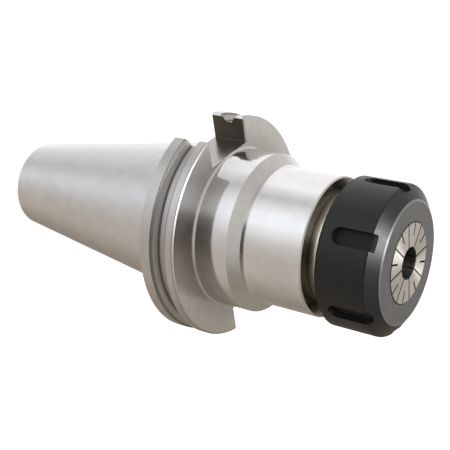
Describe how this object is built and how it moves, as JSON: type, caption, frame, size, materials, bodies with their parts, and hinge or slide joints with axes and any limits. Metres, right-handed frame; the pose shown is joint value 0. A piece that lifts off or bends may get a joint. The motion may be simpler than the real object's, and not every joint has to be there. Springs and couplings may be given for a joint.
{
  "type": "collet chuck holder",
  "caption": "Steep taper tool holder with a V flange and stepped nose; a slotted nut closes a slit collet onto a round tool shank.",
  "frame": {"origin": "centre of the taper's gauge plane, where the taper is 69.85 mm across", "axes": "+Z along the axis from the shank towards the clamping nut, +X through the middle of one drive slot; the part stands on the small end of its shank"},
  "size_m": [0.0944, 0.0984, 0.2016],
  "materials": {
    "ground_steel": "hardened steel, ground and polished",
    "black_oxide": "black oxide, satin",
    "collet_steel": "ground spring steel, pale",
    "screw_steel": "black oxide, satin"
  },
  "bodies": {
    "holder": {"holder_body": "ground_steel"},
    "collet": {"collet": "collet_steel"},
    "nut": {"clamping_nut": "black_oxide"},
    "stop": {"stop_screw": "screw_steel"}
  },
  "joints": [
    {"name": "collet_travel", "type": "slide", "parent": "holder", "child": "collet", "axis": [0, 0, 1], "range_m": [0, 0.0105]},
    {"name": "nut_spin", "type": "hinge", "parent": "collet", "child": "nut", "pos_m": [0, 0, 0.09], "axis": [0, 0, 1], "range_deg": [0, 2520]},
    {"name": "stop_screw_travel", "type": "slide", "parent": "holder", "child": "stop", "axis": [0, 0, 1], "range_m": [-0.015, 0.01]}
  ],
  "couplings": [
    {"joint": "collet_travel", "follows": "nut_spin", "m_per_rad": 0.00023873}
  ]
}
